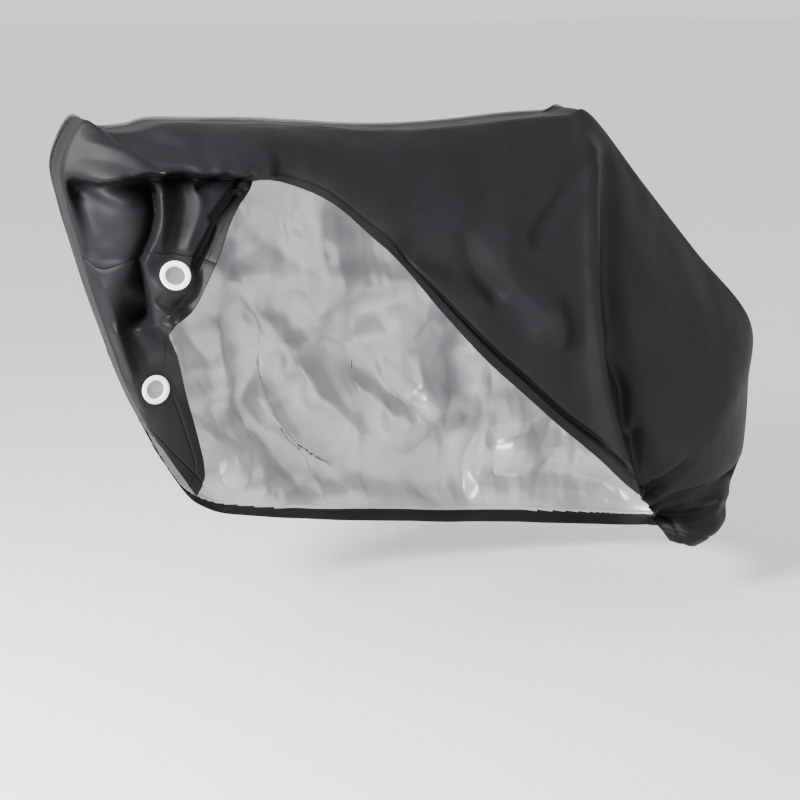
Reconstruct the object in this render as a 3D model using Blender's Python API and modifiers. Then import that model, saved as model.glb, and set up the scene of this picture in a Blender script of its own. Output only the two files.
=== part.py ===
"""Fitted bicycle cover: coated cloth panels sewn to a centre gusset, with two lock eyelets.

Metres, +Z up. +X runs towards the rear wheel, -Y is the near side (its hem is lifted to show the
bicycle) and +Y is the far side. The origin is on the underside of the top, where the bicycle
carries the cover. The cover is hollow, and hangs from its top.
"""
import math

import bmesh
import bpy
from mathutils import Matrix, Vector

CLOTH = 0.002            # thickness of the coated cloth, doubled where it is turned and sewn
SEW_GAP = 0.0003         # clearance kept between pieces that are sewn or clamped together
EYELET_OUTER = 0.034     # radius of an eyelet's flange
EYELET_HOLE = 0.022      # radius of the opening through an eyelet
EYELET_BARREL = 0.0245   # outer radius of the barrel that passes through the cloth
HOLE_CLEARANCE = 0.0006  # the punched hole is this much larger all round
FLANGE_THICK = 0.0035    # height of the domed flange over the cloth
WASHER_OUTER = 0.030     # radius of the washer, and of the flange's flat seat on the cloth
WASHER_THICK = 0.0015
ROUND_STEPS = 32         # facets round an eyelet

# The cover's sections, from the front hem, over the top, to the rear hem. Each row is one section:
# the gusset's centre line (seam_x, seam_z) and half width, the near hem (near_x, near_y, near_z)
# and the far hem (far_x, far_y, far_z).
SECTION_COLUMNS = ("seam_x", "seam_z", "half", "near_x", "near_y", "near_z", "far_x", "far_y", "far_z")
SECTIONS = [
    (-0.640, -0.695, 0.045, -0.545, -0.050, -0.850, -0.590, 0.110, -0.785),
    (-0.677, -0.622, 0.045, -0.518, -0.040, -0.800, -0.540, 0.165, -0.865),
    (-0.707, -0.545, 0.048, -0.535, -0.040, -0.700, -0.490, 0.200, -0.935),
    (-0.737, -0.450, 0.050, -0.560, -0.050, -0.600, -0.440, 0.230, -0.975),
    (-0.768, -0.350, 0.052, -0.585, -0.090, -0.505, -0.390, 0.250, -1.000),
    (-0.795, -0.245, 0.056, -0.629, -0.190, -0.414, -0.335, 0.262, -1.015),
    (-0.818, -0.150, 0.062, -0.577, -0.205, -0.369, -0.280, 0.270, -1.028),
    (-0.828, -0.055, 0.068, -0.540, -0.208, -0.305, -0.225, 0.275, -1.040),
    (-0.778, 0.042, 0.070, -0.507, -0.200, -0.247, -0.170, 0.280, -1.050),
    (-0.724, 0.018, 0.070, -0.480, -0.190, -0.195, -0.115, 0.283, -1.060),
    (-0.655, 0.020, 0.070, -0.450, -0.178, -0.155, -0.060, 0.286, -1.070),
    (-0.595, 0.032, 0.070, -0.420, -0.165, -0.125, -0.005, 0.288, -1.078),
    (-0.480, 0.028, 0.070, -0.392, -0.152, -0.092, 0.050, 0.290, -1.086),
    (-0.355, 0.024, 0.070, -0.311, -0.165, -0.113, 0.105, 0.290, -1.093),
    (-0.240, 0.015, 0.070, -0.236, -0.190, -0.152, 0.160, 0.290, -1.100),
    (-0.120, 0.005, 0.070, -0.159, -0.210, -0.223, 0.215, 0.288, -1.108),
    (0.000, 0.001, 0.070, -0.093, -0.230, -0.286, 0.270, 0.286, -1.115),
    (0.135, 0.005, 0.070, -0.005, -0.260, -0.399, 0.325, 0.284, -1.120),
    (0.300, 0.017, 0.070, 0.100, -0.287, -0.520, 0.380, 0.282, -1.126),
    (0.410, 0.020, 0.070, 0.200, -0.292, -0.612, 0.435, 0.278, -1.132),
    (0.480, 0.020, 0.070, 0.300, -0.285, -0.702, 0.490, 0.272, -1.138),
    (0.640, -0.160, 0.070, 0.400, -0.270, -0.785, 0.545, 0.265, -1.145),
    (0.800, -0.340, 0.070, 0.492, -0.250, -0.869, 0.600, 0.255, -1.150),
    (0.973, -0.530, 0.070, 0.565, -0.220, -0.930, 0.655, 0.245, -1.155),
    (0.980, -0.700, 0.068, 0.611, -0.200, -0.965, 0.705, 0.232, -1.158),
    (0.977, -0.860, 0.064, 0.645, -0.180, -1.010, 0.750, 0.215, -1.160),
    (0.945, -0.975, 0.058, 0.670, -0.165, -1.045, 0.790, 0.190, -1.158),
    (0.900, -1.075, 0.052, 0.690, -0.155, -1.070, 0.820, 0.160, -1.152),
    (0.840, -1.115, 0.050, 0.699, -0.150, -1.080, 0.835, 0.125, -1.145),
]
LAST = len(SECTIONS) - 1
FRONT_SPLIT = (4.9, 7.6)  # sections at the seam and at the hem where the lower front panel is sewn on

# How far a panel's middle stands out past the straight line from its seam to its hem, by section.
BELLY_COLUMNS = ("section", "near_out", "near_up", "far_out", "far_up")
BELLIES = [
    (0, 0.020, 0.000, 0.020, 0.000),
    (5, 0.010, 0.000, 0.060, 0.000),
    (8, 0.020, 0.010, 0.090, 0.010),
    (13, 0.035, 0.020, 0.110, 0.020),
    (20, 0.070, 0.030, 0.110, 0.030),
    (23, 0.090, 0.010, 0.090, 0.010),
    (28, 0.060, 0.000, 0.040, 0.000),
]

# Where the cloth hangs over itself. A row gives the panel, the way the edge faces ("z" for down,
# "x" for forwards), the edge's points (x, z), how far the edge stands out, how far the cloth under
# it is tucked back, how far it climbs behind the edge, and over what length it comes out again.
OVERHANG_COLUMNS = ("name", "panel", "faces", "edge", "out", "back", "climb", "return_over")
OVERHANGS = [
    ("flap over the valley", "near", "x", [(-0.635, -0.110), (-0.640, -0.160), (-0.655, -0.210),
     (-0.680, -0.262), (-0.670, -0.310), (-0.655, -0.400)], 0.030, 0.070, 0.035, 0.040),
    ("top band over the flap", "near", "z", [(-0.815, -0.066), (-0.760, -0.080), (-0.663, -0.062),
     (-0.460, -0.068), (-0.390, -0.080)], 0.030, 0.045, 0.035, 0.080),
]

# Folds, each a soft ridge or trough along a line in the side view. A row gives the panel, the
# line's points (x, z), the half width across, how strong it starts and ends, and the push there.
FOLD_COLUMNS = ("name", "panel", "line", "width", "start", "end", "push")
FOLDS = [
    ("nose ridge", "near", [(-0.740, -0.34), (-0.740, -0.42), (-0.720, -0.52), (-0.690, -0.61)],
     0.040, 1.0, 0.5, (0.0, -0.030, 0.0)),
    ("lit front plane's edge", "near", [(-0.735, -0.10), (-0.690, -0.16), (-0.720, -0.27)], 0.030, 0.6, 1.0,
     (0.0, -0.022, 0.0)),
    ("pocket under the band", "near", [(-0.80, -0.10), (-0.74, -0.13)], 0.022, 1.0, 0.2, (0.0, 0.022, 0.0)),
    ("flap's middle trough", "near", [(-0.585, -0.08), (-0.600, -0.17), (-0.635, -0.23)], 0.020, 1.0, 0.5,
     (0.0, 0.030, 0.0)),
    ("flap's hem-side trough", "near", [(-0.435, -0.12), (-0.485, -0.18), (-0.545, -0.27), (-0.590, -0.35)],
     0.018, 0.8, 0.6, (0.0, 0.026, 0.0)),
    ("fold below the rear top corner", "near", [(0.45, -0.06), (0.39, -0.31), (0.40, -0.53), (0.46, -0.77), (0.55, -0.91)],
     0.040, 0.6, 1.0, (0.0, -0.035, 0.0)),
    ("trough behind it", "near", [(0.49, -0.09), (0.45, -0.32), (0.46, -0.53), (0.52, -0.74), (0.59, -0.90)],
     0.036, 0.5, 1.0, (0.0, 0.035, 0.0)),
    ("crease to the rear edge", "near", [(0.67, -1.00), (0.93, -0.93)], 0.030, 1.0, 0.7, (0.0, 0.040, 0.0)),
    ("gather above the pouch", "near", [(0.68, -1.03), (0.86, -1.03)], 0.022, 1.0, 0.4, (0.0, 0.022, 0.0)),
    ("rear pouch", "near", [(0.74, -1.07), (0.88, -1.06)], 0.040, 0.8, 1.0, (0.0, -0.040, 0.0)),
    ("trough past the handlebar", "near", [(-0.05, -0.27), (0.08, -0.31), (0.20, -0.44)], 0.045, 0.8, 0.5,
     (0.0, 0.030, 0.0)),
    ("far billow", "far", [(-0.35, -0.72), (-0.15, -0.92), (0.10, -0.99), (0.40, -0.98)], 0.060, 1.0, 0.7,
     (0.0, 0.045, 0.0)),
    ("far front crease", "far", [(-0.45, -0.30), (-0.20, -0.60), (0.00, -0.85)], 0.050, 1.0, 0.8,
     (0.0, -0.035, 0.0)),
    ("far rear crease", "far", [(0.48, -0.05), (0.35, -0.55), (0.25, -1.00)], 0.055, 0.7, 1.0,
     (0.0, 0.035, 0.0)),
]

# The lock eyelets in the lower front panel: where each sits and the way its face points.
EYELET_COLUMNS = ("name", "centre", "facing")
EYELETS = [
    ("eyelet_upper", (-0.614, -0.196, -0.290), (-0.12, -0.88, 0.45)),
    ("eyelet_lower", (-0.636, -0.063, -0.576), (0.15, -0.99, 0.04)),
]
SEAT_RADIUS = 0.032      # radius of the flat seat of cloth that an eyelet clamps
FLAT_RADIUS = 0.036      # the cloth round it is drawn flat this far out
FLAT_FADE = 0.030        # and eases back to its drape over this distance

COVER = bpy.data.collections.new("bicycle_cover")


def clear_scene():
    for thing in list(bpy.data.objects):
        bpy.data.objects.remove(thing, do_unlink=True)
    bpy.context.scene.collection.children.link(COVER)


def material(name, colour, roughness):
    made = bpy.data.materials.new(name)
    made.use_nodes = True
    shader = made.node_tree.nodes["Principled BSDF"]
    shader.inputs["Base Color"].default_value = (*colour, 1.0)
    shader.inputs["Roughness"].default_value = roughness
    return made


def ease(share):
    """0 to 1 with a level start and end; outside that range it stays at 0 or 1."""
    share = min(max(share, 0.0), 1.0)
    return share * share * (3 - 2 * share)


def smooth(before, start, end, after, share):
    """A curve through start and end that keeps the direction of its neighbours."""
    rise = 0.5 * (end - before)
    leave = 0.5 * (after - start)
    square = share * share
    cube = square * share
    return ((2 * cube - 3 * square + 1) * start + (cube - 2 * square + share) * rise
            + (3 * square - 2 * cube) * end + (cube - square) * leave)


def smooth_row(rows, place):
    """The values at any place between the rows of a table of numbers."""
    last = len(rows) - 1
    row = min(int(place), last - 1)
    around = [rows[min(max(row + step, 0), last)] for step in (-1, 0, 1, 2)]
    return [smooth(*column, place - row) for column in zip(*around)]


def belly(place):
    """The belly table's values at any section."""
    for start, end in zip(BELLIES, BELLIES[1:]):
        if place <= end[0]:
            share = ease((place - start[0]) / (end[0] - start[0]))
            return dict(zip(BELLY_COLUMNS, [a + (b - a) * share for a, b in zip(start, end)]))
    return dict(zip(BELLY_COLUMNS, BELLIES[-1]))


def drawn_line(points, pieces=5):
    """A table's few points as a smooth run of short straight pieces."""
    steps = (len(points) - 1) * pieces
    return [smooth_row(points, step / pieces) for step in range(steps + 1)]


def nearest_on_line(x, z, line):
    """Distance from a point to a line of several points, and the share of its length there."""
    lengths = [math.dist(a, b) for a, b in zip(line, line[1:])]
    best, best_share, walked = math.inf, 0.0, 0.0
    for (ax, az), (bx, bz), length in zip(line, line[1:], lengths):
        along = ((x - ax) * (bx - ax) + (z - az) * (bz - az)) / length ** 2
        along = min(max(along, 0.0), 1.0)
        away = math.hypot(x - ax - along * (bx - ax), z - az - along * (bz - az))
        if away < best:
            best, best_share = away, (walked + along * length) / sum(lengths)
        walked += length
    return best, best_share


def fold_push(point, fold):
    """How far one fold moves a point of the plain cloth."""
    away, share = nearest_on_line(point.x, point.z, fold["line"])
    strength = fold["start"] + (fold["end"] - fold["start"]) * share
    return Vector(fold["push"]) * strength * math.exp(-(away / fold["width"]) ** 2)


def overhang_push(point, overhang):
    """How an edge that hangs over moves a point: out at the edge, tucked back and up behind it."""
    down = overhang["faces"] == "z"
    along, across = (point.x, point.z) if down else (-point.z, point.x)
    line = [(x, z) if down else (-z, x) for x, z in overhang["edge"]]
    ends_fade = 0.035
    strength = ease((along - line[0][0]) / ends_fade + 1) * ease((line[-1][0] - along) / ends_fade + 1)
    if strength == 0.0:
        return Vector()
    held = min(max(along, line[0][0]), line[-1][0])
    for (start, low), (end, high) in zip(line, line[1:]):
        if held <= end:
            edge = low + (high - low) * (held - start) / (end - start)
            break
    past = edge - across
    turn = 0.024
    stands = ease(1 - past / turn) if past > 0 else math.exp(-(past / 0.05) ** 2)
    tucked = ease(past / turn) * math.exp(-max(past - turn, 0.0) / overhang["return_over"])
    climbs = ease(past / turn) * math.exp(-(max(past - turn, 0.0) / 0.045) ** 2)
    outward = overhang["out"] * stands - overhang["back"] * tucked
    climb = overhang["climb"] * climbs
    push = Vector((0.0, -outward, climb)) if down else Vector((climb, -outward, 0.0))
    return push * strength


def creased(point, panel):
    """A point of a panel's plain cloth, moved by the folds that reach it."""
    moved = point.copy()
    for fold in FOLD_LINES:
        if fold["panel"] == panel:
            moved += fold_push(point, fold)
    for overhang in OVERHANG_LINES:
        if overhang["panel"] == panel:
            moved += overhang_push(point, overhang)
    return moved


def clamped_flat(point):
    """Cloth close to an eyelet is drawn into the plane that its flange and washer hold."""
    for row in EYELETS:
        eyelet = dict(zip(EYELET_COLUMNS, row))
        centre = Vector(eyelet["centre"])
        facing = Vector(eyelet["facing"]).normalized()
        off_plane = (point - centre).dot(facing)
        in_plane = point - facing * off_plane
        away = (in_plane - centre).length
        loose = max(ease((away - FLAT_RADIUS) / FLAT_FADE), ease((abs(off_plane) - FLAT_FADE) / FLAT_FADE))
        point = in_plane.lerp(point, loose)
    return point


def side_panel(place, down, panel):
    """A side panel's cloth: place runs along the sections, down from 0 at its seam to 1 at its hem."""
    row = dict(zip(SECTION_COLUMNS, smooth_row(SECTIONS, place)))
    side = -1.0 if panel == "near" else 1.0
    seam = Vector((row["seam_x"], side * row["half"], row["seam_z"]))
    hem = Vector((row[panel + "_x"], row[panel + "_y"], row[panel + "_z"]))
    swell = 4.0 * down * (1.0 - down)
    stand = belly(place)
    point = seam.lerp(hem, down)
    point.y += side * swell * stand[panel + "_out"]
    point.z += swell * stand[panel + "_up"]
    point = point.lerp(creased(point, panel), ease(down / 0.15))
    return point.lerp(clamped_flat(point), ease(down / 0.08)) if panel == "near" else point


def split_place(down):
    """The section where the lower front panel meets the near panel, from seam to hem."""
    return FRONT_SPLIT[0] + (FRONT_SPLIT[1] - FRONT_SPLIT[0]) * down


def near_panel(share, down):
    start = split_place(down) + SPLIT_TRIM
    return side_panel(start + (LAST - start) * share, down, "near")


def front_panel(share, down):
    return side_panel((split_place(down) - SPLIT_TRIM) * share, down, "near")


def far_panel(share, down):
    return side_panel(LAST * share, down, "far")


def gusset_strip(share, across):
    """The gusset's cloth: across runs from -1 at the near seam to 1 at the far seam."""
    row = dict(zip(SECTION_COLUMNS, smooth_row(SECTIONS, LAST * share)))
    half = row["half"] - SEAM_TRIM
    return Vector((row["seam_x"], across * half, row["seam_z"]))


def facing_matrix(centre, facing):
    """Places a part with its own +Z along the facing direction."""
    turn = Vector(facing).to_track_quat("Z", "Y").to_matrix().to_4x4()
    return Matrix.Translation(centre) @ turn


def ring_edges(grid, radius, placing):
    """A ring of loose edges round an eyelet's middle."""
    ring = bmesh.ops.create_circle(grid, segments=ROUND_STEPS, radius=radius, matrix=placing)
    return list({edge for corner in ring["verts"] for edge in corner.link_edges})


def punch_holes(grid):
    """Cuts the eyelets' round holes in an open sheet, each with a flat seat round it."""
    for row in EYELETS:
        eyelet = dict(zip(EYELET_COLUMNS, row))
        centre = Vector(eyelet["centre"])
        placing = facing_matrix(eyelet["centre"], eyelet["facing"])
        seat = [face for face in grid.faces
                if any((corner.co - centre).length < SEAT_RADIUS + SEW_GAP for corner in face.verts)]
        around = {edge for face in seat for edge in face.edges if not edge.is_boundary}
        bmesh.ops.delete(grid, geom=seat, context="FACES")
        around = [edge for edge in around if edge.is_valid]
        hole = ring_edges(grid, EYELET_BARREL + HOLE_CLEARANCE, placing)
        rim = ring_edges(grid, SEAT_RADIUS, placing)
        bmesh.ops.bridge_loops(grid, edges=hole + rim)
        bmesh.ops.triangle_fill(grid, edges=rim + around, use_beauty=True, normal=eyelet["facing"])
    bmesh.ops.recalc_face_normals(grid, faces=grid.faces)


def sheet(name, surface, across, cells, look, holes=False):
    """A cloth sheet: a grid laid on the surface function, given its thickness."""
    mesh = bpy.data.meshes.new(name)
    grid = bmesh.new()
    bmesh.ops.create_grid(grid, x_segments=cells[0], y_segments=cells[1], size=0.5)
    for corner in grid.verts:
        corner.co = surface(corner.co.x + 0.5, across[0] + (across[1] - across[0]) * (corner.co.y + 0.5))
    if holes:
        punch_holes(grid)
    bmesh.ops.triangulate(grid, faces=grid.faces, quad_method="SHORT_EDGE")
    grid.to_mesh(mesh)
    grid.free()
    mesh.materials.append(look)
    cloth = bpy.data.objects.new(name, mesh)
    COVER.objects.link(cloth)
    wall = cloth.modifiers.new("cloth thickness", "SOLIDIFY")
    wall.thickness = CLOTH
    wall.offset = 0.0
    return cloth


def turned_ring(name, profile, placing, look):
    """A ring turned from a closed profile of (radius, height) points."""
    mesh = bpy.data.meshes.new(name)
    count = len(profile)
    corners = [(radius, 0.0, height) for radius, height in profile]
    mesh.from_pydata(corners, [(step, (step + 1) % count) for step in range(count)], [])
    mesh.materials.append(look)
    ring = bpy.data.objects.new(name, mesh)
    COVER.objects.link(ring)
    ring.matrix_world = placing
    turn = ring.modifiers.new("turn", "SCREW")
    turn.axis = "Z"
    turn.steps = ROUND_STEPS
    turn.render_steps = ROUND_STEPS
    turn.use_merge_vertices = True
    turn.merge_threshold = 0.00005


def build_eyelet(name, placing, look):
    """The front flange with its barrel, and the washer behind the cloth."""
    face = CLOTH / 2 + SEW_GAP
    rolled = face + WASHER_THICK + 0.001
    flange = [
        (EYELET_HOLE, face + 0.5 * FLANGE_THICK),
        (EYELET_HOLE + 0.0025, face + FLANGE_THICK),
        (EYELET_OUTER - 0.004, face + FLANGE_THICK),
        (EYELET_OUTER, face + 0.55 * FLANGE_THICK),
        (EYELET_OUTER, face + 0.35 * FLANGE_THICK),
        (WASHER_OUTER, face),
        (EYELET_BARREL, face),
        (EYELET_BARREL, -rolled),
        (EYELET_HOLE, -rolled),
    ]
    turned_ring(name, flange, placing, look)
    inner = EYELET_BARREL + SEW_GAP
    washer = [(inner, -face), (WASHER_OUTER, -face), (WASHER_OUTER, -face - WASHER_THICK),
              (inner, -face - WASHER_THICK)]
    turned_ring(name + "_washer", washer, placing, look)


def build_cover():
    clear_scene()
    cloth = material("coated_cloth", (0.030, 0.030, 0.032), 0.55)
    plastic = material("white_plastic", (0.85, 0.85, 0.85), 0.35)
    panel_depth = 0.25
    sewn_edge = SEAM_TRIM / panel_depth
    sheet("near_panel", near_panel, (sewn_edge, 1.0), (62, 14), cloth)
    sheet("near_front_panel", front_panel, (sewn_edge, 1.0), (44, 14), cloth, holes=True)
    sheet("far_panel", far_panel, (sewn_edge, 1.0), (96, 5), cloth)
    sheet("gusset", gusset_strip, (-1.0, 1.0), (96, 1), cloth)
    for row in EYELETS:
        eyelet = dict(zip(EYELET_COLUMNS, row))
        placing = facing_matrix(eyelet["centre"], eyelet["facing"])
        build_eyelet(eyelet["name"], placing, plastic)


SEAM_TRIM = (CLOTH + SEW_GAP) / 2
SPLIT_TRIM = 0.004       # the same at the front panel's seam, as a share of a section
FOLD_LINES = [dict(zip(FOLD_COLUMNS, row)) for row in FOLDS]
OVERHANG_LINES = [dict(zip(OVERHANG_COLUMNS, row)) for row in OVERHANGS]
for fold_row in FOLD_LINES:
    fold_row["line"] = drawn_line(fold_row["line"])
build_cover()
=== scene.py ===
import math

import bmesh
import bpy
import numpy as np
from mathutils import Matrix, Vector, noise


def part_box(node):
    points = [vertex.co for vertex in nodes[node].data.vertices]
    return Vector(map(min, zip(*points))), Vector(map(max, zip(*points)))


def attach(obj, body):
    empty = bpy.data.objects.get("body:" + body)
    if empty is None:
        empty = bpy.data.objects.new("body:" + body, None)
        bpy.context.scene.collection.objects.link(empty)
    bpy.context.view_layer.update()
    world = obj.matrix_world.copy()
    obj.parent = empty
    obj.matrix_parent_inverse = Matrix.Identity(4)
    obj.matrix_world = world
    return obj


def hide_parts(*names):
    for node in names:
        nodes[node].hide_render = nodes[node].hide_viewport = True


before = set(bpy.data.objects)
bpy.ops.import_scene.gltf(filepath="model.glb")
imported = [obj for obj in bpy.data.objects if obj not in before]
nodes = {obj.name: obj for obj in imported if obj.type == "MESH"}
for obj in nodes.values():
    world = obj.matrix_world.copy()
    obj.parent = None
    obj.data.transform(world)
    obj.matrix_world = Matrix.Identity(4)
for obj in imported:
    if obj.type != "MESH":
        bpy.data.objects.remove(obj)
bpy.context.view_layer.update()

# ---------------------------------------------------------------------------------------------
# The cloth and its drape, shared by every panel
# Coated polyester: a black woven face, and a back coated with aluminium-pigmented polyurethane.
# The panels are sewn to a centre gusset, hang from the top, and are drawn from the sections below.
# ---------------------------------------------------------------------------------------------
CLOTH = 0.0010           # thickness of the shown cloth
NEAR_HEM = 0.035         # width of the turned and stitched hem on the near side
FAR_HEM = 0.038          # and on the far side
HEM_STAND = 0.0012       # the hem's doubled cloth stands out this much
SEAM_GROOVE = 0.0030     # depth of the groove along a sewn seam
SEAM_WIDTH = 0.0060      # and its half width

SECTION_COLUMNS = ("seam_x", "seam_z", "half", "near_x", "near_y", "near_z", "far_x", "far_y", "far_z")
SECTIONS = [
    (-0.640, -0.695, 0.045, -0.545, -0.050, -0.850, -0.590, 0.110, -0.785),
    (-0.677, -0.622, 0.045, -0.518, -0.040, -0.800, -0.540, 0.165, -0.865),
    (-0.707, -0.545, 0.048, -0.535, -0.040, -0.700, -0.490, 0.200, -0.935),
    (-0.737, -0.450, 0.050, -0.560, -0.050, -0.600, -0.440, 0.230, -0.975),
    (-0.768, -0.350, 0.052, -0.585, -0.090, -0.505, -0.390, 0.250, -1.000),
    (-0.795, -0.245, 0.056, -0.629, -0.190, -0.414, -0.335, 0.262, -1.015),
    (-0.818, -0.150, 0.062, -0.577, -0.205, -0.369, -0.280, 0.270, -1.028),
    (-0.828, -0.055, 0.068, -0.540, -0.208, -0.305, -0.225, 0.275, -1.040),
    (-0.778, 0.042, 0.070, -0.507, -0.200, -0.247, -0.170, 0.280, -1.050),
    (-0.724, 0.018, 0.070, -0.480, -0.190, -0.195, -0.115, 0.283, -1.060),
    (-0.655, 0.020, 0.070, -0.450, -0.178, -0.155, -0.060, 0.286, -1.070),
    (-0.595, 0.032, 0.070, -0.420, -0.165, -0.125, -0.005, 0.288, -1.078),
    (-0.480, 0.028, 0.070, -0.392, -0.152, -0.092, 0.050, 0.290, -1.086),
    (-0.355, 0.024, 0.070, -0.311, -0.165, -0.113, 0.105, 0.290, -1.093),
    (-0.240, 0.015, 0.070, -0.236, -0.190, -0.152, 0.160, 0.290, -1.100),
    (-0.120, 0.005, 0.070, -0.159, -0.210, -0.223, 0.215, 0.288, -1.108),
    (0.000, 0.001, 0.070, -0.093, -0.230, -0.286, 0.270, 0.286, -1.115),
    (0.135, 0.005, 0.070, -0.005, -0.260, -0.399, 0.325, 0.284, -1.120),
    (0.300, 0.017, 0.070, 0.100, -0.287, -0.520, 0.380, 0.282, -1.126),
    (0.410, 0.020, 0.070, 0.200, -0.292, -0.612, 0.435, 0.278, -1.132),
    (0.480, 0.020, 0.070, 0.300, -0.285, -0.702, 0.490, 0.272, -1.138),
    (0.640, -0.160, 0.070, 0.400, -0.270, -0.785, 0.545, 0.265, -1.145),
    (0.800, -0.340, 0.070, 0.492, -0.250, -0.869, 0.600, 0.255, -1.150),
    (0.973, -0.530, 0.070, 0.565, -0.220, -0.930, 0.655, 0.245, -1.155),
    (0.980, -0.700, 0.068, 0.611, -0.200, -0.965, 0.705, 0.232, -1.158),
    (0.977, -0.860, 0.064, 0.645, -0.180, -1.010, 0.750, 0.215, -1.160),
    (0.945, -0.975, 0.058, 0.670, -0.165, -1.045, 0.790, 0.190, -1.158),
    (0.900, -1.075, 0.052, 0.690, -0.155, -1.070, 0.820, 0.160, -1.152),
    (0.840, -1.115, 0.050, 0.699, -0.150, -1.080, 0.835, 0.125, -1.145),
]
LAST = len(SECTIONS) - 1
FRONT_SPLIT = (4.9, 7.6)  # sections at the seam and at the hem where the lower front panel is sewn on

# How far a panel's middle stands out past the straight line from its seam to its hem, by section.
BELLY_COLUMNS = ("section", "near_out", "near_up", "far_out", "far_up")
BELLIES = [
    (0, 0.020, 0.000, 0.020, 0.000),
    (5, 0.010, 0.000, 0.060, 0.000),
    (8, 0.020, 0.010, 0.090, 0.010),
    (13, 0.035, 0.020, 0.110, 0.020),
    (20, 0.070, 0.030, 0.110, 0.030),
    (23, 0.090, 0.010, 0.090, 0.010),
    (28, 0.060, 0.000, 0.040, 0.000),
]

# Where the cloth hangs over itself: the edge faces down ("z") or forwards ("x"), stands out, and
# the cloth under it is tucked back, climbs behind the edge and comes out again.
OVERHANG_COLUMNS = ("name", "panel", "faces", "edge", "out", "back", "climb", "return_over", "from_seam")
OVERHANGS = [
    ("flap over the valley", "near", "x", [(-0.635, -0.110), (-0.640, -0.160), (-0.655, -0.210),
     (-0.680, -0.262), (-0.670, -0.310), (-0.655, -0.400)], 0.030, 0.070, 0.035, 0.040, 0.15),
    ("top band over the flap", "near", "z", [(-0.815, -0.066), (-0.760, -0.080), (-0.663, -0.062),
     (-0.460, -0.068), (-0.390, -0.080)], 0.030, 0.045, 0.000, 0.080, 0.22),
]

# Folds, each a ridge or trough along a line in the side view. A row gives the panel, the line's
# points (x, z), the half width across, how strong it starts and ends, and the push there.
FOLD_COLUMNS = ("name", "panel", "line", "width", "start", "end", "push")
FOLDS = [
    ("nose ridge", "near", [(-0.740, -0.34), (-0.740, -0.42), (-0.720, -0.52), (-0.690, -0.61)],
     0.040, 1.0, 0.5, (0.0, -0.030, 0.0)),
    ("lit front plane's edge", "near", [(-0.735, -0.10), (-0.690, -0.16), (-0.720, -0.27)], 0.030, 0.6, 1.0,
     (0.0, -0.022, 0.0)),
    ("pocket under the band", "near", [(-0.80, -0.10), (-0.74, -0.13)], 0.022, 1.0, 0.2, (0.0, 0.022, 0.0)),
    ("flap's middle trough", "near", [(-0.585, -0.08), (-0.600, -0.17), (-0.635, -0.23)], 0.020, 1.0, 0.5,
     (0.0, 0.030, 0.0)),
    ("flap's hem-side trough", "near", [(-0.435, -0.12), (-0.485, -0.18), (-0.545, -0.27), (-0.590, -0.35)],
     0.018, 0.8, 0.6, (0.0, 0.026, 0.0)),
    ("fold below the rear top corner", "near", [(0.45, -0.06), (0.39, -0.31), (0.40, -0.53),
     (0.46, -0.77), (0.55, -0.91)],
     0.040, 0.6, 1.0, (0.0, -0.035, 0.0)),
    ("trough behind it", "near", [(0.49, -0.09), (0.45, -0.32), (0.46, -0.53), (0.52, -0.74), (0.59, -0.90)],
     0.036, 0.5, 1.0, (0.0, 0.035, 0.0)),
    ("crease to the rear edge", "near", [(0.67, -1.00), (0.93, -0.93)], 0.030, 1.0, 0.7, (0.0, 0.040, 0.0)),
    ("gather above the pouch", "near", [(0.68, -1.03), (0.86, -1.03)], 0.022, 1.0, 0.4, (0.0, 0.022, 0.0)),
    ("rear pouch", "near", [(0.74, -1.07), (0.88, -1.06)], 0.040, 0.8, 1.0, (0.0, -0.040, 0.0)),
    ("trough past the handlebar", "near", [(-0.05, -0.27), (0.08, -0.31), (0.20, -0.44)], 0.045, 0.8, 0.5,
     (0.0, 0.030, 0.0)),
    ("far billow", "far", [(-0.35, -0.72), (-0.15, -0.92), (0.10, -0.99), (0.40, -0.98)], 0.060, 1.0, 0.7,
     (0.0, 0.045, 0.0)),
    ("far front crease", "far", [(-0.45, -0.30), (-0.20, -0.60), (0.00, -0.85)], 0.050, 1.0, 0.8,
     (0.0, -0.035, 0.0)),
    ("far rear crease", "far", [(0.48, -0.05), (0.35, -0.55), (0.25, -1.00)], 0.055, 0.7, 1.0,
     (0.0, 0.035, 0.0)),
]

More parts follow.
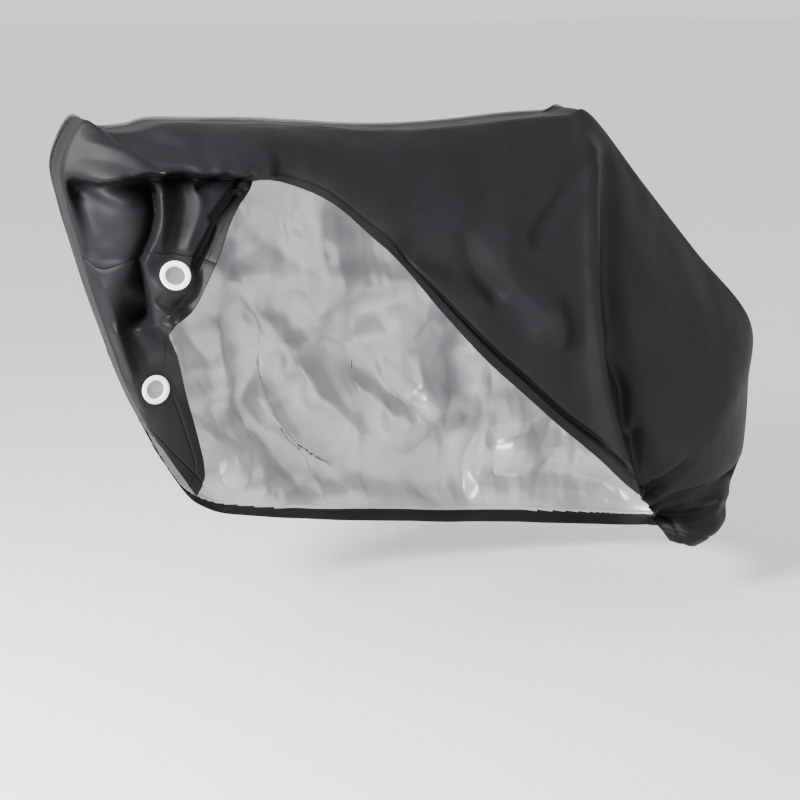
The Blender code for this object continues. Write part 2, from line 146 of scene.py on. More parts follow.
# Finer folds, creases and pleats of the shown cloth only. crisp is 0 for a soft fold and 1 for one
# with flat sides that meet in a sharp line.
FINE_COLUMNS = FOLD_COLUMNS + ("crisp",)
FINE_FOLDS = [
    ("lit facet's outer edge", "near", [(0.445, -0.050), (0.320, -0.105), (0.200, -0.170),
     (0.160, -0.250), (0.175, -0.335), (0.280, -0.445)],
     0.045, 0.5, 1.0, (0.0, -0.020, 0.0), 0.7),
    ("crease across the lit facet", "near", [(0.435, -0.075), (0.335, -0.165), (0.255, -0.250)],
     0.020, 0.4, 0.9, (0.0, 0.013, 0.0), 0.6),
    ("light ridge from the rear corner", "near", [(0.440, -0.100), (0.400, -0.270), (0.395, -0.545),
     (0.455, -0.765), (0.540, -0.910)],
     0.020, 0.5, 1.0, (0.0, -0.014, 0.0), 1.0),
    ("dark side of that ridge", "near", [(0.445, -0.175), (0.430, -0.320), (0.435, -0.540),
     (0.485, -0.735), (0.545, -0.905)],
     0.024, 0.5, 1.0, (0.0, 0.014, 0.0), 0.5),
    ("short dark fold", "near", [(0.430, -0.525), (0.455, -0.575), (0.490, -0.635), (0.505, -0.760)],
     0.013, 0.7, 1.0, (0.0, 0.016, 0.0), 0.6),
    ("second short fold", "near", [(0.530, -0.755), (0.540, -0.805), (0.560, -0.890)],
     0.014, 0.8, 1.0, (0.0, 0.018, 0.0), 0.6),
    ("gather crease upwards", "near", [(0.595, -0.950), (0.635, -0.900), (0.695, -0.845)],
     0.016, 1.0, 0.3, (0.0, 0.032, 0.0), 0.7),
    ("long gather crease", "near", [(0.625, -0.980), (0.710, -0.945), (0.935, -0.930)],
     0.014, 1.0, 0.8, (0.0, 0.030, 0.0), 0.8),
    ("lower gather groove", "near", [(0.655, -1.020), (0.735, -1.015), (0.830, -1.000)],
     0.012, 1.0, 0.6, (0.0, 0.022, 0.0), 0.8),
    ("ridge between the gathers", "near", [(0.635, -0.995), (0.730, -0.980), (0.930, -0.995)],
     0.014, 0.8, 0.6, (0.0, -0.012, 0.0), 0.5),
    ("sharp hollow past the handlebar", "near", [(0.065, -0.240), (0.085, -0.295), (0.135, -0.365)],
     0.022, 0.6, 1.0, (0.0, 0.015, 0.0), 0.6),
    ("hollow's lower reach", "near", [(-0.105, -0.250), (-0.025, -0.275), (0.070, -0.340)],
     0.030, 0.8, 0.5, (0.0, 0.012, 0.0), 0.2),
    ("light spot", "near", [(0.280, -0.420), (0.300, -0.485)],
     0.022, 1.0, 1.0, (0.0, -0.010, 0.0), 0.6),
    ("soft band under the top", "near", [(-0.310, -0.045), (-0.120, -0.070), (0.070, -0.075),
     (0.195, -0.065)],
     0.030, 0.6, 0.8, (0.0, 0.009, 0.0), 0.0),
    ("soft band behind the cap", "near", [(-0.510, 0.020), (-0.535, -0.020), (-0.525, -0.060)],
     0.016, 0.8, 0.8, (0.0, 0.006, 0.0), 0.4),
    ("cap's crease", "near", [(-0.800, 0.010), (-0.750, -0.005), (-0.710, -0.015), (-0.585, -0.050),
     (-0.505, -0.060)],
     0.020, 1.0, 0.6, (0.0, -0.012, 0.0), 0.8),
    ("hollow over the cap's crease", "near", [(-0.765, 0.025), (-0.690, 0.005), (-0.590, -0.015)],
     0.020, 0.8, 0.6, (0.0, 0.008, 0.0), 0.0),
    ("light fold under the band", "near", [(-0.790, -0.090), (-0.750, -0.115), (-0.710, -0.135)],
     0.012, 1.0, 0.5, (0.0, -0.012, 0.0), 0.8),
    ("dark triangle", "near", [(-0.795, -0.125), (-0.775, -0.160), (-0.750, -0.205)],
     0.028, 1.0, 0.5, (0.0, 0.016, 0.0), 0.2),
    ("crease beside the valley", "near", [(-0.700, -0.080), (-0.680, -0.105), (-0.665, -0.140)],
     0.012, 0.8, 1.0, (0.0, 0.009, 0.0), 0.7),
    ("flap's edge ridge", "near", [(-0.625, -0.075), (-0.635, -0.150), (-0.640, -0.235)],
     0.014, 1.0, 0.9, (0.0, -0.013, 0.0), 0.8),
    ("first short pleat", "near", [(-0.605, -0.080), (-0.610, -0.135)],
     0.010, 1.0, 0.3, (0.0, 0.014, 0.0), 0.5),
    ("middle pleat", "near", [(-0.570, -0.080), (-0.570, -0.140), (-0.590, -0.195), (-0.610, -0.250)],
     0.013, 1.0, 0.4, (0.0, 0.016, 0.0), 0.4),
    ("ridge beside it", "near", [(-0.545, -0.105), (-0.540, -0.145), (-0.570, -0.205), (-0.590, -0.250)],
     0.013, 0.8, 0.6, (0.0, -0.009, 0.0), 0.4),
    ("dark pocket", "near", [(-0.490, -0.075), (-0.510, -0.095), (-0.535, -0.105)],
     0.009, 1.0, 0.9, (0.0, 0.024, 0.0), 0.5),
    ("pleat from the hem corner", "near", [(-0.435, -0.080), (-0.455, -0.110), (-0.495, -0.150),
     (-0.515, -0.170)],
     0.009, 1.0, 0.7, (0.0, 0.022, 0.0), 0.7),
    ("long pleat by the hem", "near", [(-0.450, -0.130), (-0.500, -0.175), (-0.525, -0.210),
     (-0.555, -0.255), (-0.570, -0.285)],
     0.010, 0.7, 1.0, (0.0, 0.024, 0.0), 0.7),
    ("wrinkle under the eyelet", "near", [(-0.650, -0.345), (-0.630, -0.360), (-0.610, -0.355)],
     0.010, 0.8, 0.6, (0.0, 0.012, 0.0), 0.5),
    ("wrinkle at the flap's tip", "near", [(-0.660, -0.380), (-0.640, -0.390), (-0.625, -0.390)],
     0.010, 0.8, 0.8, (0.0, 0.012, 0.0), 0.5),
    ("lit strip's crest", "near", [(-0.775, -0.270), (-0.745, -0.355), (-0.720, -0.465), (-0.695, -0.530)],
     0.016, 0.9, 0.8, (0.0, -0.012, 0.0), 0.5),
    ("lower hollow", "near", [(-0.700, -0.325), (-0.680, -0.405), (-0.655, -0.485)],
     0.030, 1.0, 0.6, (0.0, 0.024, 0.0), 0.1),
    ("billow's crest", "far", [(-0.270, -0.730), (-0.175, -0.870), (-0.085, -0.985), (0.030, -1.055),
     (0.235, -1.090)],
     0.050, 0.8, 1.0, (0.0, -0.030, 0.0), 0.6),
    ("trough before the billow", "far", [(-0.310, -0.725), (-0.225, -0.865), (-0.135, -0.990),
     (-0.065, -1.050)],
     0.022, 0.8, 1.0, (0.0, 0.010, 0.0), 0.8),
    ("crisp fold by the down tube", "far", [(-0.250, -0.565), (-0.205, -0.705), (-0.165, -0.795),
     (-0.045, -0.870), (0.045, -0.905)],
     0.045, 0.8, 1.0, (0.0, 0.014, 0.0), 0.9),
    ("its lit crest", "far", [(-0.275, -0.580), (-0.245, -0.720), (-0.190, -0.835), (-0.065, -0.925)],
     0.030, 0.7, 1.0, (0.0, -0.014, 0.0), 0.9),
    ("upper lit facet", "far", [(-0.180, -0.430), (-0.060, -0.430), (0.090, -0.460)],
     0.040, 1.0, 0.8, (0.0, -0.018, 0.0), 0.9),
    ("dark fold below it", "far", [(-0.115, -0.525), (0.010, -0.500), (0.105, -0.475)],
     0.030, 1.0, 1.0, (0.0, 0.018, 0.0), 0.9),
    ("crossing fold one", "far", [(-0.030, -0.615), (0.040, -0.585), (0.170, -0.540)],
     0.034, 1.0, 0.9, (0.0, -0.010, 0.0), 0.9),
    ("crossing trough one", "far", [(-0.015, -0.650), (0.090, -0.625), (0.190, -0.580)],
     0.034, 0.9, 1.0, (0.0, 0.010, 0.0), 0.9),
    ("fold to the saddle", "far", [(0.045, -0.675), (0.105, -0.735), (0.170, -0.790)],
     0.026, 0.9, 0.9, (0.0, 0.028, 0.0), 0.9),
    ("lit facet behind it", "far", [(0.105, -0.810), (0.185, -0.780), (0.280, -0.760)],
     0.036, 0.8, 0.9, (0.0, -0.030, 0.0), 0.8),
    ("rear facet", "far", [(0.320, -0.700), (0.295, -0.780), (0.260, -0.860)],
     0.034, 0.8, 0.8, (0.0, 0.028, 0.0), 0.8),
    ("rear dark stripe", "far", [(0.425, -0.905), (0.560, -0.890), (0.715, -0.915)],
     0.024, 0.9, 0.9, (0.0, 0.026, 0.0), 0.9),
    ("low rear trough", "far", [(0.420, -1.015), (0.600, -1.015), (0.780, -1.065)],
     0.022, 0.9, 0.9, (0.0, 0.022, 0.0), 0.9),
    ("front hanging pleat", "far", [(-0.340, -0.440), (-0.330, -0.605), (-0.310, -0.800)],
     0.030, 0.8, 0.8, (0.0, 0.026, 0.0), 0.7),
    ("front hanging ridge", "far", [(-0.370, -0.520), (-0.365, -0.705), (-0.360, -0.895)],
     0.026, 0.8, 0.8, (0.0, -0.022, 0.0), 0.7),
]

# The lock eyelets: where each sits and the way its face points.
# Each row holds: name, centre, facing.
EYELETS = [
    ("eyelet_upper", (-0.614, -0.196, -0.290), (-0.12, -0.88, 0.45)),
    ("eyelet_lower", (-0.636, -0.063, -0.576), (0.15, -0.99, 0.04)),
]
HOLE_RADIUS = 0.0255     # the punched hole in the cloth
FLAT_RADIUS = 0.036      # the cloth round an eyelet is drawn flat this far out
FLAT_FADE = 0.030        # and eases back to its drape over this distance
SEAM_LAP = 0.0020        # a sewn edge runs this far past its seam line, under its neighbour


def ease(share):
    """0 to 1 with a level start and end."""
    share = np.clip(share, 0.0, 1.0)
    return share * share * (3 - 2 * share)


def smooth_rows(table, place):
    """The values of a table at places between its rows, on a smooth curve through the rows."""
    rows = np.array(table, float)
    row = np.clip(place.astype(int), 0, len(rows) - 2)
    share = (place - row)[:, None]
    before, start, end, after = (rows[np.clip(row + step, 0, len(rows) - 1)] for step in (-1, 0, 1, 2))
    square, cube = share ** 2, share ** 3
    return ((2 * cube - 3 * square + 1) * start + (cube - 2 * square + share) * 0.5 * (end - before)
            + (3 * square - 2 * cube) * end + (cube - square) * 0.5 * (after - start))


def belly(place):
    """The belly table's values at any section."""
    rows = np.array(BELLIES)
    row = np.clip(np.searchsorted(rows[:, 0], place, side="right") - 1, 0, len(rows) - 2)
    share = ease((place - rows[row, 0]) / (rows[row + 1, 0] - rows[row, 0]))
    values = rows[row] + (rows[row + 1] - rows[row]) * share[:, None]
    return dict(zip(BELLY_COLUMNS, values.T))


def nearest_on_line(x, z, points):
    """Distance from each point to a smooth line, and the share of its length there."""
    line = smooth_rows(points, np.linspace(0, len(points) - 1, 5 * (len(points) - 1) + 1))
    lengths = np.hypot(*(line[1:] - line[:-1]).T)
    best, best_share, walked = np.full(len(x), np.inf), np.zeros(len(x)), 0.0
    for start, end, length in zip(line, line[1:], lengths):
        step = end - start
        along = np.clip(((x - start[0]) * step[0] + (z - start[1]) * step[1]) / length ** 2, 0, 1)
        away = np.hypot(x - start[0] - along * step[0], z - start[1] - along * step[1])
        closer = away < best
        best_share = np.where(closer, (walked + along * length) / lengths.sum(), best_share)
        best = np.minimum(away, best)
        walked += length
    return best, best_share


def fold_push(plain, fold):
    """How far one fold moves each point of the plain cloth."""
    away, share = nearest_on_line(plain[:, 0], plain[:, 2], fold["line"])
    strength = fold["start"] + (fold["end"] - fold["start"]) * share
    crisp = fold.get("crisp", 0.0)
    soft, flat_sided = np.exp(-(away / fold["width"]) ** 2), np.clip(1 - away / (1.6 * fold["width"]), 0, 1)
    return np.outer(strength * (soft + (flat_sided - soft) * crisp), fold["push"])


def overhang_push(plain, overhang):
    """How an edge that hangs over moves each point: out at the edge, tucked back and up behind it."""
    down = overhang["faces"] == "z"
    x, z = plain[:, 0], plain[:, 2]
    along, across = (x, z) if down else (-z, x)
    line = np.array([(px, pz) if down else (-pz, px) for px, pz in overhang["edge"]])
    ends_fade = 0.035
    strength = ease((along - line[0, 0]) / ends_fade + 1) * ease((line[-1, 0] - along) / ends_fade + 1)
    past = np.interp(along, line[:, 0], line[:, 1]) - across
    turn = 0.024
    stands = np.where(past > 0, ease(1 - past / turn), np.exp(-(past / 0.05) ** 2))
    beyond = np.maximum(past - turn, 0.0)
    tucked = ease(past / turn) * np.exp(-beyond / overhang["return_over"])
    climbs = ease(past / turn) * np.exp(-(beyond / 0.045) ** 2) * overhang["climb"]
    outward = overhang["out"] * stands - overhang["back"] * tucked
    still = np.zeros(len(x))
    push = np.stack((still, -outward, climbs) if down else (climbs, -outward, still), axis=1)
    return push * strength[:, None]


def clamped_flat(points):
    """Cloth close to an eyelet is drawn into the plane that its flange and washer hold."""
    for name, centre, facing in EYELETS:
        facing = np.array(facing) / np.linalg.norm(facing)
        off_plane = (points - centre) @ facing
        in_plane = points - np.outer(off_plane, facing)
        away = np.linalg.norm(in_plane - centre, axis=1)
        loose = np.maximum(ease((away - FLAT_RADIUS) / FLAT_FADE),
                           ease((abs(off_plane) - FLAT_FADE) / FLAT_FADE))
        points = in_plane + (points - in_plane) * loose[:, None]
    return points


def side_panel(place, down, panel):
    """A side panel's cloth: place runs along the sections, down from 0 at its seam to 1 at its hem."""
    row = dict(zip(SECTION_COLUMNS, smooth_rows(SECTIONS, place).T))
    side = -1.0 if panel == "near" else 1.0
    seam = np.stack((row["seam_x"], side * row["half"], row["seam_z"]), axis=1)
    hem = np.stack((row[panel + "_x"], row[panel + "_y"], row[panel + "_z"]), axis=1)
    plain = seam + (hem - seam) * down[:, None]
    swell, stand = 4.0 * down * (1.0 - down), belly(place)
    plain[:, 1] += side * swell * stand[panel + "_out"]
    plain[:, 2] += swell * stand[panel + "_up"]
    pushes = sum(fold_push(plain, dict(zip(FOLD_COLUMNS, fold))) for fold in FOLDS if fold[1] == panel)
    fine = sum(fold_push(plain, dict(zip(FINE_COLUMNS, fold))) for fold in FINE_FOLDS if fold[1] == panel)
    pushes += fine * (1 - 0.9 * ease((down - 0.88) / 0.08))[:, None] if panel == "far" else fine
    draped = plain + pushes * ease(down / 0.15)[:, None]
    for hang in OVERHANGS:
        if hang[1] == panel:
            overhang = dict(zip(OVERHANG_COLUMNS, hang))
            draped += overhang_push(plain, overhang) * ease(down / overhang["from_seam"])[:, None]
    if panel == "near":
        draped += (clamped_flat(draped) - draped) * ease(down / 0.08)[:, None]
    return draped


def lattice(cells):
    """Places along and across a sheet from 0 to 1, closer together near the two long edges."""
    along, across = np.meshgrid(np.linspace(0, 1, cells[0] + 1), np.linspace(0, 1, cells[1] + 1),
                                indexing="ij")
    across = across - 0.08 * np.sin(2 * math.pi * across)
    return along.ravel(), across.ravel()


def run_lengths(points, axis):
    """How far each point of a grid is from its first row, measured on the cloth."""
    steps = np.linalg.norm(np.diff(points, axis=axis), axis=2)
    start = np.zeros_like(steps.take([0], axis=axis))
    return np.concatenate((start, np.cumsum(steps, axis=axis)), axis=axis)


def outward_normals(points, side):
    """Unit normals of a grid of points, away from the bicycle."""
    normals = np.cross(np.gradient(points, axis=0), np.gradient(points, axis=1)) * side
    return normals / np.maximum(np.linalg.norm(normals, axis=2, keepdims=True), 1e-9)


def field(kind, points, size, seed):
    """A noise function sampled on the cloth, its features size metres along X, Y and Z."""
    spots = (points / np.array(size) + seed).reshape(-1, 3)
    return np.array([kind(Vector(spot)) for spot in spots]).reshape(points.shape[:2])


def facets(spot):
    """Flat-sided peaks and hollows that meet in sharp creases."""
    return noise.voronoi(spot, distance_metric="MANHATTAN")[0][0]


def hem_relief(from_edge, width, groove=0.0020, groove_width=0.004):
    """A turned hem stands out a little, with a groove where it is stitched and drawn in."""
    return (HEM_STAND * ease((width - from_edge) / 0.004)
            - groove * np.exp(-((from_edge - width - 0.5 * groove_width) / groove_width) ** 2))


def seam_relief(from_edge):
    """The cloth rolls down into a sewn seam."""
    return -SEAM_GROOVE * np.exp(-(from_edge / SEAM_WIDTH) ** 2)


def cloth_mesh(name, points, lengths, side, hems, looks):
    """One sheet of cloth on a grid of points, with its coated back and its turned hems."""
    cells = (points.shape[0] - 1, points.shape[1] - 1)
    work = bmesh.new()
    bmesh.ops.create_grid(work, x_segments=cells[0], y_segments=cells[1], size=0.5)
    cloth_map = work.loops.layers.uv.new("cloth")
    spots = {}
    for corner in work.verts:
        spot = (round((corner.co.x + 0.5) * cells[0]), round((corner.co.y + 0.5) * cells[1]))
        spots[corner] = spot
        corner.co = points[spot]
    for face in work.faces:
        face.smooth = True
        for loop in face.loops:
            spot = spots[loop.vert]
            loop[cloth_map].uv = (lengths[0][spot], lengths[1][spot])
        if all(hems[spots[corner]] for corner in face.verts):
            face.material_index = 2
    if side < 0:
        bmesh.ops.reverse_faces(work, faces=work.faces)
    mesh = bpy.data.meshes.new(name)
    work.to_mesh(mesh)
    work.free()
    for look in looks:
        mesh.materials.append(look)
    sheet = bpy.data.objects.new(name, mesh)
    bpy.context.scene.collection.objects.link(sheet)
    return sheet


def thicken(sheet):
    """Gives a sheet its thickness, with the coated back inside."""
    wall = sheet.modifiers.new("cloth thickness", "SOLIDIFY")
    wall.thickness = CLOTH
    wall.offset = -1.0
    wall.material_offset = 1


def linear(colour):
    """An sRGB hex colour as the linear values a shader takes."""
    shares = [int(colour[start:start + 2], 16) / 255 for start in (1, 3, 5)]
    return (*[s / 12.92 if s <= 0.04045 else ((s + 0.055) / 1.055) ** 2.4 for s in shares], 1.0)


def add_node(tree, kind, inputs=(), **settings):
    """Adds a node with its settings; inputs is a dictionary of values or of sockets to link."""
    node = tree.nodes.new(kind)
    for key, value in settings.items():
        setattr(node, key, value)
    for key, value in dict(inputs).items():
        if isinstance(value, bpy.types.NodeSocket):
            tree.links.new(value, node.inputs[key])
        else:
            node.inputs[key].default_value = value
    return node


def blend_colours(tree, share, first, second):
    """A colour between two, by a share from 0 to 1."""
    ramp = add_node(tree, "ShaderNodeValToRGB", {"Fac": share})
    ramp.color_ramp.elements[0].color = first
    ramp.color_ramp.elements[1].color = second
    ramp.color_ramp.elements[0].position = 0.30
    ramp.color_ramp.elements[1].position = 0.70
    return ramp.outputs["Color"]


def coated_cloth(name, dark, light, roughness, metallic, crinkle, weave):
    """The cloth's black face or its silver back: crinkles of 8 to 30 mm over a 0.6 mm weave."""
    made = bpy.data.materials.new(name)
    made.use_nodes = True
    tree = made.node_tree
    shader = tree.nodes["Principled BSDF"]
    place = add_node(tree, "ShaderNodeTexCoord")
    broad = add_node(tree, "ShaderNodeTexNoise",
                     {"Vector": place.outputs["Object"], "Scale": 7.0, "Detail": 4.0})
    tree.links.new(blend_colours(tree, broad.outputs["Fac"], linear(dark), linear(light)),
                   shader.inputs["Base Color"])
    large = add_node(tree, "ShaderNodeTexNoise",
                     {"Vector": place.outputs["Object"], "Scale": 32.0, "Detail": 5.0,
                      "Roughness": 0.55, "Distortion": 0.6})
    crumpled = add_node(tree, "ShaderNodeBump",
                        {"Height": large.outputs["Fac"], "Strength": 1.0, "Distance": crinkle})
    threads = []
    for direction in ("X", "Y"):
        threads.append(add_node(tree, "ShaderNodeTexWave", {"Vector": place.outputs["UV"], "Scale": 260.0},
                                bands_direction=direction).outputs["Fac"])
    woven = add_node(tree, "ShaderNodeMath", {0: threads[0], 1: threads[1]}, operation="MULTIPLY")
    grain = add_node(tree, "ShaderNodeBump", {"Height": woven.outputs[0], "Strength": 0.3, "Distance": weave,
                                              "Normal": crumpled.outputs["Normal"]})
    tree.links.new(grain.outputs["Normal"], shader.inputs["Normal"])
    shader.inputs["Roughness"].default_value = roughness
    shader.inputs["Metallic"].default_value = metallic
    shader.inputs["Specular IOR Level"].default_value = 0.16
    return made


# Woven polyester's black face: charcoal, soft broad highlights.
black_face = coated_cloth("black woven polyester", "#121214", "#17171a", 0.54, 0.0, 0.0008, 0.0002)
# Aluminium-pigmented coating: pale silver, brighter on the facets that meet the light.
silver_back = coated_cloth("aluminium pigmented coating", "#a0a1a4", "#b4b6b8", 0.34, 0.35, 0.0007, 0.0001)
# The same black cloth turned over twice and stitched: a touch darker, flatter.
black_hem = coated_cloth("black polyester hem", "#0e0e10", "#141416", 0.50, 0.0, 0.0006, 0.0002)
LOOKS = [black_face, silver_back, black_hem, black_hem]

# ---------------------------------------------------------------------------------------------
# Near side panel
# The side whose hem is lifted: black face outside, silver back inside, sewn to the gusset and to
# the lower front panel, its hem turned 35 mm and stitched.
# ---------------------------------------------------------------------------------------------
NEAR_CELLS = (430, 104)
SPLIT_DIP = 0.55         # how many sections that seam dips by the gusset
SPLIT_LAP = 0.012        # and how far the two panels lap there


def split_place(down):
    """The section where the lower front panel meets the near panel: a line that dips by the gusset."""
    dip = SPLIT_DIP * np.sin(math.pi * np.clip(down / 0.55, 0, 1))
    return FRONT_SPLIT[0] + (FRONT_SPLIT[1] - FRONT_SPLIT[0]) * down - dip


share, down = lattice(NEAR_CELLS)
down = down * (1 + SEAM_LAP / 0.25) - SEAM_LAP / 0.25
start = split_place(down) - SPLIT_LAP
points = side_panel(start + (LAST - start) * share, down, "near")
points = points.reshape(NEAR_CELLS[0] + 1, NEAR_CELLS[1] + 1, 3)
along, across = run_lengths(points, 0), run_lengths(points, 1)
from_hem = across[:, -1:] - across
from_rear = along[-1:, :] - along
wrinkle = (0.0050 * field(noise.noise, points, (0.10, 0.20, 0.15), 1.5)
           + 0.0014 * field(noise.noise, points, (0.04, 0.08, 0.05), 4.5))
drawn_in = ease((points[..., 0] + 0.15) / 0.30) * ease((0.60 - points[..., 0]) / 0.12)
relief = (wrinkle * ease(across / 0.04) + hem_relief(from_hem, NEAR_HEM, 0.002 + 0.018 * drawn_in, 0.007)
          + hem_relief(from_rear, NEAR_HEM) + seam_relief(across) + seam_relief(along) * 0.5)
points = points + outward_normals(points, -1) * relief[..., None]
near_side = cloth_mesh("near_side_panel", points, (along, across), -1,
                       (from_hem < NEAR_HEM) | (from_rear < NEAR_HEM), LOOKS)
thicken(near_side)
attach(near_side, "root")
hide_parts("near_panel")

# ---------------------------------------------------------------------------------------------
# Near lower front panel
# The same cloth, sewn on below the short curved seam. Its two punched holes take the lock eyelets,
# and its hem is turned 35 mm and stitched.
# ---------------------------------------------------------------------------------------------
FRONT_CELLS = (190, 150)

share, down = lattice(FRONT_CELLS)
down = down * (1 + SEAM_LAP / 0.25) - SEAM_LAP / 0.25
points = side_panel((split_place(down) + SPLIT_LAP) * share, down, "near")
points = points.reshape(FRONT_CELLS[0] + 1, FRONT_CELLS[1] + 1, 3)
along, across = run_lengths(points, 0), run_lengths(points, 1)
from_hem = across[:, -1:] - across
from_split = along[-1:, :] - along
away = np.min([np.linalg.norm(points - centre, axis=2) for name, centre, facing in EYELETS], axis=0)
loose = ease((away - FLAT_RADIUS) / FLAT_FADE)
wrinkle = (0.0040 * field(noise.noise, points, (0.08, 0.20, 0.12), 7.5)
           + 0.0014 * field(noise.noise, points, (0.03, 0.08, 0.04), 9.5))
relief = (wrinkle * ease(across / 0.04) + hem_relief(from_hem, NEAR_HEM) + hem_relief(along, NEAR_HEM)
          + seam_relief(across) + seam_relief(from_split) * (1 - 0.7 * ease(across / 0.15))) * loose
points = points + outward_normals(points, -1) * relief[..., None]
front_side = cloth_mesh("near_lower_front_panel", points, (along, across), -1,
                        (from_hem < NEAR_HEM) | (along < NEAR_HEM), LOOKS)
work = bmesh.new()
work.from_mesh(front_side.data)
for name, centre, facing in EYELETS:
    middle, way = Vector(centre), Vector(facing).normalized()
    inside = [face for face in work.faces
              if any((corner.co - middle).length < HOLE_RADIUS for corner in face.verts)]
    bmesh.ops.delete(work, geom=inside, context="FACES")
    for corner in work.verts:
        out = corner.co - middle
        out -= way * out.dot(way)
        if corner.is_boundary and (corner.co - middle).length < HOLE_RADIUS + 0.012:
            corner.co = middle + out.normalized() * HOLE_RADIUS
work.to_mesh(front_side.data)
work.free()
thicken(front_side)
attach(front_side, "root")
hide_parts("near_front_panel")

# ---------------------------------------------------------------------------------------------
# Far side panel
# The same cloth on the far side. Its silver back shows through the open near side, crumpled into
# crisp facets, with the narrow black hem turned to the inside.
# ---------------------------------------------------------------------------------------------
FAR_CELLS = (400, 112)
FAR_PRESS = 0.018

share, down = lattice(FAR_CELLS)
down = down * (1 + SEAM_LAP / 0.25) - SEAM_LAP / 0.25
points = side_panel(LAST * share, down, "far").reshape(FAR_CELLS[0] + 1, FAR_CELLS[1] + 1, 3)
along, across = run_lengths(points, 0), run_lengths(points, 1)
from_hem = across[:, -1:] - across
from_ends = np.minimum(along, along[-1:, :] - along)
bend = np.stack([0.05 * field(noise.noise, points, (0.22, 0.5, 0.22), seed)
                 for seed in (21.5, 24.5, 27.5)], axis=-1)
bent = points + bend
turned = bent @ np.array(((0.8, 0.0, 0.6), (0.0, 1.0, 0.0), (-0.6, 0.0, 0.8)))
crumple = (0.060 * (field(facets, bent, (0.26, 2.0, 0.42), 3.5) - 0.4)
           - 0.036 * (field(facets, turned, (0.17, 2.0, 0.24), 8.5) - 0.4)
           + 0.013 * (field(facets, bent, (0.08, 2.0, 0.10), 15.5) - 0.4))
relief = (crumple * ease(across / 0.32) * ease(from_ends / 0.25)
          * (0.10 + 0.90 * ease((from_hem - FAR_HEM) / 0.06))
          + hem_relief(from_hem, FAR_HEM) + hem_relief(from_ends, FAR_HEM) + seam_relief(across))
points = points + outward_normals(points, 1) * relief[..., None]
# The deepest crumples are pressed in, so that they stand at most 18 mm past the panel's solid.
pressed_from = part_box("far_panel")[1][1] - FAR_PRESS
past = np.maximum(points[..., 1] - pressed_from, 0.0)
points[..., 1] += 2 * FAR_PRESS * (1 - np.exp(-past / (2 * FAR_PRESS))) - past
far_side = cloth_mesh("far_side_panel", points, (along, across), 1,
                      (from_hem < FAR_HEM) | (from_ends < FAR_HEM), LOOKS)
thicken(far_side)
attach(far_side, "root")
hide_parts("far_panel")

# ---------------------------------------------------------------------------------------------
# Centre gusset strip
# The same cloth, 140 mm wide over the top and narrower down the front and rear, sewn between the
# two side panels, with its ends turned up into the hem.
# ---------------------------------------------------------------------------------------------
GUSSET_CELLS = (640, 26)

share, across = lattice(GUSSET_CELLS)
row = dict(zip(SECTION_COLUMNS, smooth_rows(SECTIONS, LAST * share).T))
half = row["half"] + SEAM_LAP
points = np.stack((row["seam_x"], (2 * across - 1) * half, row["seam_z"]), axis=1)
points = points.reshape(GUSSET_CELLS[0] + 1, GUSSET_CELLS[1] + 1, 3)
along, across = run_lengths(points, 0), run_lengths(points, 1)
from_seams = np.minimum(across, across[:, -1:] - across)
from_ends = np.minimum(along, along[-1:, :] - along)
wrinkle = 0.0030 * field(noise.noise, points, (0.09, 0.05, 0.09), 31.5)
relief = wrinkle * ease(from_seams / 0.02) + seam_relief(from_seams) + hem_relief(from_ends, NEAR_HEM)
points = points + outward_normals(points, 1) * relief[..., None]
gusset = cloth_mesh("centre_gusset", points, (along, across), 1, from_ends < NEAR_HEM, LOOKS)
thicken(gusset)
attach(gusset, "root")
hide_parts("gusset")

# ---------------------------------------------------------------------------------------------
# Lock eyelets and their washers
# White moulded plastic: a domed flange with its barrel, snapped through the cloth into a washer.
# The solids themselves are shown.
# ---------------------------------------------------------------------------------------------
plastic = bpy.data.materials.new("white moulded plastic")
plastic.use_nodes = True
tree = plastic.node_tree
shader = tree.nodes["Principled BSDF"]
shader.inputs["Base Color"].default_value = linear("#f2f2ef")
shader.inputs["Subsurface Weight"].default_value = 0.15
shader.inputs["Subsurface Radius"].default_value = (0.004, 0.004, 0.004)
place = add_node(tree, "ShaderNodeTexCoord")
rubbed = add_node(tree, "ShaderNodeTexNoise",
                  {"Vector": place.outputs["Object"], "Scale": 120.0, "Detail": 3.0})
worn = add_node(tree, "ShaderNodeMapRange", {"Value": rubbed.outputs["Fac"], "To Min": 0.28, "To Max": 0.45})
tree.links.new(worn.outputs["Result"], shader.inputs["Roughness"])
for name in ("eyelet_upper", "eyelet_upper_washer", "eyelet_lower", "eyelet_lower_washer"):
    mesh = nodes[name].data
    mesh.materials.clear()
    mesh.materials.append(plastic)
    mesh.shade_smooth()
    mesh.set_sharp_from_angle(angle=math.radians(40))

# ---------------------------------------------------------------------------------------------
# Floor, light and camera
# A pale flat studio floor, a large soft light from the front left and above, a weaker one from
# the right, and the camera a little left of the front and a little above.
# ---------------------------------------------------------------------------------------------
FLOOR = -1.26

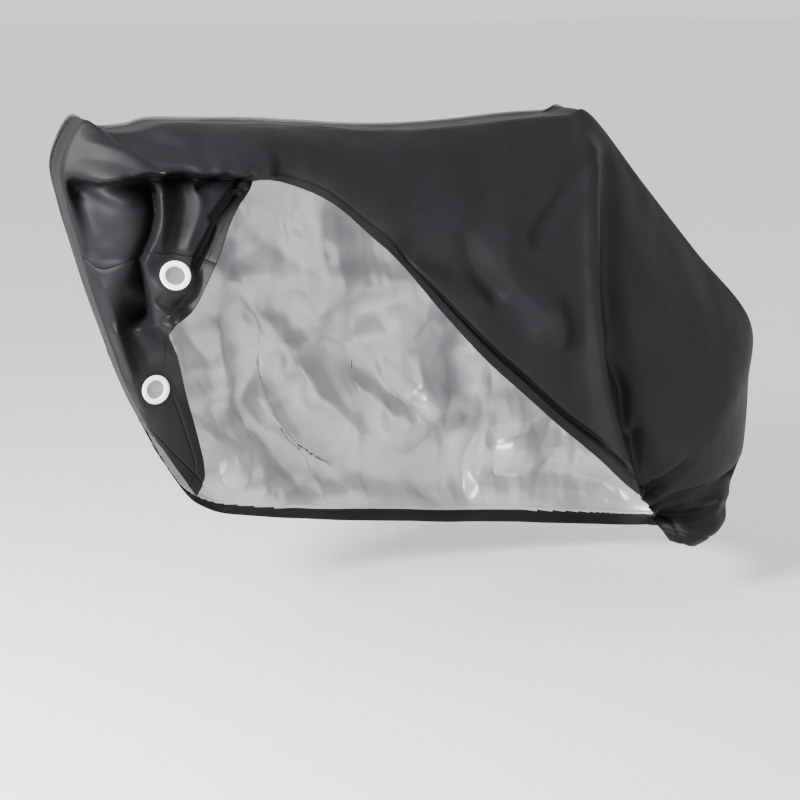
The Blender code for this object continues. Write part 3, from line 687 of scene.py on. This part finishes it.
work = bmesh.new()
bmesh.ops.create_grid(work, x_segments=1, y_segments=1, size=60.0)
mesh = bpy.data.meshes.new("studio_floor")
work.to_mesh(mesh)
work.free()
backdrop = bpy.data.objects.new("studio_floor", mesh)
backdrop.location.z = FLOOR
bpy.context.scene.collection.objects.link(backdrop)
paper = bpy.data.materials.new("matt studio paper")
paper.use_nodes = True
paper.node_tree.nodes["Principled BSDF"].inputs["Base Color"].default_value = linear("#f6f6f6")
paper.node_tree.nodes["Principled BSDF"].inputs["Roughness"].default_value = 0.9
mesh.materials.append(paper)

TARGET = Vector((0.0, 0.0, -0.675))


def area_light(name, azimuth, elevation, away, size, watts):
    """A square soft light that faces the cover."""
    turn, rise = math.radians(azimuth), math.radians(elevation)
    data = bpy.data.lights.new(name, "AREA")
    data.shape = "SQUARE"
    data.size = size
    data.energy = watts
    light = bpy.data.objects.new(name, data)
    light.location = TARGET + away * Vector((math.sin(turn) * math.cos(rise),
                                             -math.cos(turn) * math.cos(rise), math.sin(rise)))
    light.rotation_euler = (TARGET - light.location).to_track_quat("-Z", "Y").to_euler()
    bpy.context.scene.collection.objects.link(light)


area_light("key_left", -64, 28, 3.4, 1.0, 330)
area_light("front_right", 40, 14, 4.6, 1.2, 35)

world = bpy.data.worlds.new("studio")
world.use_nodes = True
world.node_tree.nodes["Background"].inputs["Color"].default_value = linear("#ffffff")
world.node_tree.nodes["Background"].inputs["Strength"].default_value = 1.15
bpy.context.scene.world = world

AZIMUTH, ELEVATION, DISTANCE = math.radians(-22), math.radians(14), 4.2
camera_data = bpy.data.cameras.new("view")
camera_data.lens = 75.6
camera = bpy.data.objects.new("view", camera_data)
camera.location = TARGET + DISTANCE * Vector((math.sin(AZIMUTH) * math.cos(ELEVATION),
                                              -math.cos(AZIMUTH) * math.cos(ELEVATION), math.sin(ELEVATION)))
camera.rotation_euler = (TARGET - camera.location).to_track_quat("-Z", "Y").to_euler()
bpy.context.scene.collection.objects.link(camera)
bpy.context.scene.camera = camera
